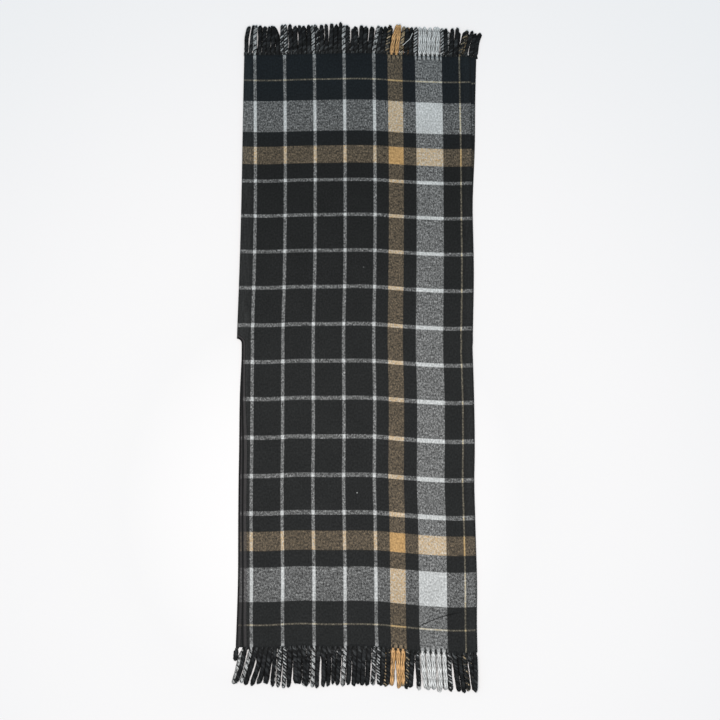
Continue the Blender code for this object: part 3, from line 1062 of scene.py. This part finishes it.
# Painted light and shade along the cloth: the black is painted darker towards the back hem and blends
# into a cooler shaded black there, and the pale yarns are painted lighter towards the back and duller
# towards the front.
BLACK_SHADE_ALONG = (0.0, 0.55, 1.0, 0.87)
COOL_SHADE_FROM = (0.52, 0.76)
PALE_LIGHT_ALONG = (-0.7, 0.7, 0.98, 1.024)
PATCH_PACE = 14.0
PATCH_TONES = (0.3, 0.7, 0.965, 1.035)
SPECK_PACE = (240.0, 180.0)
SPECK_TONES = (0.25, 0.75, 0.8, 1.2)
FADED_MIDDLE = (0.042, 0.026, 0.0, 0.055)
FADED_SELVEDGE = (0.63, 0.642, 0.0, 0.03)
STREAK_PACE = (420.0, 22.0)
STREAKS = (0.35, 0.65, 0.25, 1.0)
NAP_PACE = (900.0, 420.0)
NAP_HEIGHT = 0.7
TUFT_PACE = 240.0
TUFT_HEIGHT = 1.3
CLOTH_BUMP = (0.55, 0.0006)
LINT = table(
    "u v size strength",
    (0.3504, 0.2104, 0.003, 0.3),
    (0.3342, -0.4115, 0.0024, 0.8),
)
SMUDGE = dict(u=0.0608, v=-0.5093, size=0.009)
SMUDGE_SHARE = 0.35


def plaid_material():
    tree = Tree(
        "plaid_twill",
        Roughness=0.92,
        Specular_IOR_Level=0.1,
        Sheen_Weight=0.03,
        Sheen_Roughness=0.55,
        Sheen_Tint=(0.9, 0.93, 1.0, 1.0),
    )
    cut, u, v = tree.uv("cut")
    away = abs(u)
    wander = (tree.noise(cut, THREAD_PACE, 1.0) - 0.5) * THREAD_WANDER
    thread_u = u / THREAD + wander
    thread_v = v / THREAD - wander
    row_u = thread_u.math("FLOOR")
    row_v = thread_v.math("FLOOR")
    # The black is painted darker and cooler towards the back, and the pale yarns lighter towards the
    # back, as painted shade and light along the cloth.
    black = tree.shade(BLACK, v.ramp(*BLACK_SHADE_ALONG))
    yarns = {"black": tree.blend(v.ramp(*COOL_SHADE_FROM), black, COOL_SHADED_BLACK)}
    for name, colour in dict(white=WHITE, gold=GOLD, straw=STRAW).items():
        yarns[name] = tree.shade(colour, v.ramp(*PALE_LIGHT_ALONG))
    warp = stripe_colour(tree, row_u * THREAD, WARP_CHECK, WARP_BANDS, yarns)
    weft = stripe_colour(tree, row_v * THREAD, WEFT_CHECK, WEFT_BANDS, yarns)

    # Two over and two under, each row a thread further on. Gold weft and clumps of the brushed
    # nap hide some of the warp.
    warp_up = (row_u + row_v) % 4.0 < 2.0
    share = warp_up * THREAD_CONTRAST + (WARP_SHARE - THREAD_CONTRAST / 2)
    red, _, blue = weft.parts()
    share = share - (red - blue) * GOLD_WEFT_LEAD
    share = share + (tree.noise(cut, GRAIN_PACE, 1.0) - 0.5) * GRAIN
    share = share + (tree.noise(cut, CLUMP_PACE, 1.0) - 0.5) * CLUMPS
    back = loosened(away, abs(v - BACK_LENGTH), BACK_TEETH)
    front = loosened(away, abs(v + FRONT_LENGTH), FRONT_TEETH)
    share = share + (back + front) * HEM_WARP_LEAD
    colour = mingle(tree, tree.blend(share.ramp(0.0, 1.0), weft, warp), warp, weft)

    # Brushed patches, and paler streaks of worn fibre beside the fold, the slit and the selvedges.
    patches = tree.noise(cut, PATCH_PACE, 3.0).ramp(*PATCH_TONES)
    colour = tree.shade(colour, patches * tree.noise(cut, SPECK_PACE).ramp(*SPECK_TONES))
    worn = away.ramp(*FADED_MIDDLE) + away.ramp(*FADED_SELVEDGE)
    colour = tree.blend(worn * tree.noise(cut, STREAK_PACE).ramp(*STREAKS), colour, WORN_WHITE)
    colour = crease_shadow(tree, slit_hem(tree, colour, u, v), u, v)
    colour = tree.blend(spot(u, v, SMUDGE) * SMUDGE_SHARE, colour, STITCH_BLACK)
    for row in LINT:
        colour = tree.blend(spot(u, v, row) * row["strength"], colour, WHITE)

    # Threads stand up as ribs across their own direction, under a fuzzy nap.
    ribs = tree.add("Mix", {0: warp_up, 2: thread_v.zigzag(), 3: thread_u.zigzag()})
    nap = tree.noise(cut, NAP_PACE, 3.0) * NAP_HEIGHT
    height = ribs + nap + tree.noise(cut, TUFT_PACE) * TUFT_HEIGHT
    return tree.finish(colour, height, *CLOTH_BUMP)


# How the tassels' yarn is worn and mixed, and where it is painted darker as shade. ROOT_REACH is how
# far out from the hem it is still as in the cloth, from none of it to all of it; further out its
# black is the darker, shaded copy.
ROOT_NOTCH = 0.9
NOTCH_SIDES = (0.3, 0.65)
NOTCH_REACH = (0.008, 0.004)
ROOT_REACH = (0.04, 0.004)
ROOT_LINT = 1.7
JUMBLE = 0.018
JUMBLE_PACE = (3.0, 230.0)
YARN_MIX = 0.3
YARN_LINT = (0.5, 0.8, 0.0, 0.15)
LINT_PACE = (6.0, 130.0)
STRAND_PACE = (7.0, 90.0)
STRAND_TONES = (0.25, 0.75, 0.58, 1.36)
WEAR_PACE = (310.0, 34.0)
DEEP_WEAR = (0.28, 0.48)
STRAND_SHADE = 0.66
DUSTY_WEAR = (0.48, 0.7)
STRAND_LINT = 0.24
PALE_LINT = 0.3
VALLEY = (0.1, 0.27)
VALLEY_TONE = 0.42
ROPE_SIDES = (0.6, 1.0)
ROPE_SHADE = 0.56
PALE_EVEN = dict(wear=0.2, valley=0.2, sides=0.16)
PLIES = 5.0
FIBRE_HEIGHT = 1.6
YARN_BUMP = (0.9, 0.0008)
PLAIN_PACE = (1400.0, 700.0)
PLAIN_TONES = (0.3, 0.7, 0.85, 1.15)
PLAIN_BUMP = (0.5, 0.0003)


def worn_strands(tree, colour, inner, out, pale):
    """Some strands deeper and some dusted with pale lint, changing slowly along them and more so at
    the root. It shows less on the tassels of one pale yarn."""
    places = {0: inner * WEAR_PACE[0], 1: out * WEAR_PACE[1]}
    wear = tree.noise(tree.add("CombineXYZ", places), 1.0, 1.5)
    colour = tree.shade(colour, wear.ramp(*DEEP_WEAR, pale * PALE_EVEN["wear"] + STRAND_SHADE, 1.0))
    dust = pale.ramp(0.0, 1.0, STRAND_LINT, STRAND_LINT * PALE_LINT)
    dust = dust * out.ramp(*ROOT_REACH, 1.0, ROOT_LINT)
    return tree.blend(wear.ramp(*DUSTY_WEAR, 0.0, dust), colour, LINT_GREY)


def tassel_material():
    tree = Tree(
        "tassel_yarn",
        Roughness=0.85,
        Specular_IOR_Level=0.12,
        Sheen_Weight=0.02,
        Sheen_Roughness=0.4,
    )
    _, inner, outer = tree.uv("ends")
    yarn, turn, out = tree.uv("yarn")
    _, sideways, pale = tree.uv("rope")
    sideways = abs(sideways)

    # Each strand's warp ends wind round it, from its inner edge to its outer edge and back, out of
    # order here and there. Dark ends are as in the cloth at the root and painted darker further out,
    # as shade; pale ends twisted with dark ones look duller, and the tassels of one pale yarn are
    # painted lighter than in the cloth.
    yarns = dict(
        black=tree.blend(out.ramp(*ROOT_REACH), SHADED_TWISTED_BLACK, ROOT_BLACK),
        white=tree.blend(pale, MIXED_WHITE, LIT_TWISTED_WHITE),
        gold=tree.blend(pale, MIXED_GOLD, LIT_TWISTED_GOLD),
        straw=MIXED_GOLD,
    )
    wound = out / STRAND_TWIST + turn
    place = wound.zigzag() * 2.0
    astray = (tree.noise(yarn, JUMBLE_PACE) - 0.5) * pale.ramp(0.0, 1.0, JUMBLE, 0.0)
    pair = []
    for start, end in ((inner, outer), (outer, inner)):
        at = (end - start) * place + start + astray
        pair.append(stripe_colour(tree, at, WARP_CHECK, WARP_BANDS, yarns))
    colour = mingle(tree, tree.blend(YARN_MIX, *pair), *pair)

    # Between the roots of the tassels the colour is darkened towards the cloth's black, as dark
    # notches.
    notch = sideways.ramp(*NOTCH_SIDES) * out.ramp(*NOTCH_REACH)
    colour = tree.blend(notch * ROOT_NOTCH, colour, BLACK)
    strands = tree.noise(yarn, STRAND_PACE, 3.0)
    colour = tree.shade(colour, strands.ramp(*STRAND_TONES))
    lint = tree.noise(yarn, LINT_PACE).ramp(*YARN_LINT)
    colour = worn_strands(tree, tree.blend(lint, colour, WHITE), inner, out, pale)

    # The valleys between the strands and the sides of the rope are in its own shade.
    valley = (turn - 0.5).zigzag().ramp(*VALLEY, 1.0, pale * PALE_EVEN["valley"] + VALLEY_TONE)
    sides = sideways.ramp(*ROPE_SIDES, 1.0, pale * PALE_EVEN["sides"] + ROPE_SHADE)
    colour = tree.shade(tree.shade(colour, valley), sides)
    ridges = (wound * PLIES).zigzag()
    return tree.finish(colour, ridges + strands * FIBRE_HEIGHT, *YARN_BUMP)


def plain_yarn(name, tone):
    tree = Tree(name, Roughness=0.8, Specular_IOR_Level=0.25)
    fibres = tree.noise(tree.uv("yarn")[0], PLAIN_PACE)
    return tree.finish(tree.shade(tone, fibres.ramp(*PLAIN_TONES)), fibres, *PLAIN_BUMP)


# ---- floor, light and camera

FLOOR_SIZE = 40.0
FLOOR_DROP = 0.0003
FLOOR_NEAR = (0.75, 0.747, 0.752, 1.0)
FLOOR_FAR = (0.953, 0.924, 0.922, 1.0)
FLOOR_TURN = (0.55, 1.85)
FLOOR_GLOW = (1.0, 0.985, 0.975, 1.0)
FLOOR_GLOW_STRENGTH = 0.2
FLOOR_PACE = 900.0
FLOOR_BUMP = (0.02, 0.0002)
LAMP_PLACE = (-0.1, -0.42, 1.8)
LAMP_SIZE = 1.1
LAMP_POWER = 42.5
LAMP_COLOUR = (1.0, 0.9, 0.84)
SKY = (0.72, 0.95, 1.06, 1.0)
SKY_STRENGTH = 0.51

CAMERA_LENS = 53.955
CAMERA_SENSOR = 36.0
CAMERA_DISTANCE = 3.0
CAMERA_TILT = 6.195
CAMERA_AIM_Y = -0.0347


def make_floor():
    """A pale sheet with a slight glow, brighter away from the lamp's foot."""
    half = FLOOR_SIZE / 2
    corners = [(-half, -half), (half, -half), (half, half), (-half, half)]
    mesh = bpy.data.meshes.new("floor")
    mesh.from_pydata([(x, y, -FLOOR_DROP) for x, y in corners], [], [(0, 1, 2, 3)])
    floor = new_object("floor", mesh)
    tree = Tree(
        "pale_floor",
        Roughness=0.9,
        Specular_IOR_Level=0.1,
        Emission_Color=FLOOR_GLOW,
        Emission_Strength=FLOOR_GLOW_STRENGTH,
    )
    place = tree.add("TexCoord", {}, "Object")
    foot = (*LAMP_PLACE[:2], 0.0)
    off = tree.add("VectorMath", {0: place, 1: foot}, "Value", operation="DISTANCE")
    colour = tree.blend(off.ramp(*FLOOR_TURN), FLOOR_NEAR, FLOOR_FAR)
    mesh.materials.append(tree.finish(colour, tree.noise(place, FLOOR_PACE), *FLOOR_BUMP))
    return floor


def make_light():
    data = bpy.data.lights.new("softbox", "AREA")
    data.shape = "SQUARE"
    data.size = LAMP_SIZE
    data.energy = LAMP_POWER
    data.color = LAMP_COLOUR
    new_object("softbox", data).location = LAMP_PLACE
    world = bpy.data.worlds.new("studio")
    world.use_nodes = True
    background = world.node_tree.nodes["Background"]
    background.inputs["Color"].default_value = SKY
    background.inputs["Strength"].default_value = SKY_STRENGTH
    bpy.context.scene.world = world


def make_camera():
    data = bpy.data.cameras.new("camera")
    data.sensor_width = CAMERA_SENSOR
    data.lens = CAMERA_LENS
    camera = new_object("camera", data)
    tilt = math.radians(CAMERA_TILT)
    y = CAMERA_AIM_Y - CAMERA_DISTANCE * math.sin(tilt)
    camera.location = (0.0, y, CAMERA_DISTANCE * math.cos(tilt))
    camera.rotation_euler = (tilt, 0.0, 0.0)
    bpy.context.scene.camera = camera


# ---- the whole


def main():
    make_camera()
    make_light()
    floor = make_floor()
    bpy.context.scene.view_settings.view_transform = "Standard"

    cloth = make_cloth(plaid_material())
    yarn = tassel_material()
    fringes = []
    for seed, end in ((31, "back"), (33, "front")):
        upper, lines = make_tassels(1, end, yarn, None, seed)
        lower, _ = make_tassels(-1, end, yarn, lines, seed + 1)
        fringes += [upper, lower]
    stitches = make_overcasting(plain_yarn("overcast_yarn", STITCH_BLACK))
    thread = make_loose_thread(fringes[0], plain_yarn("pale_thread", LIT_TWISTED_WHITE))


main()
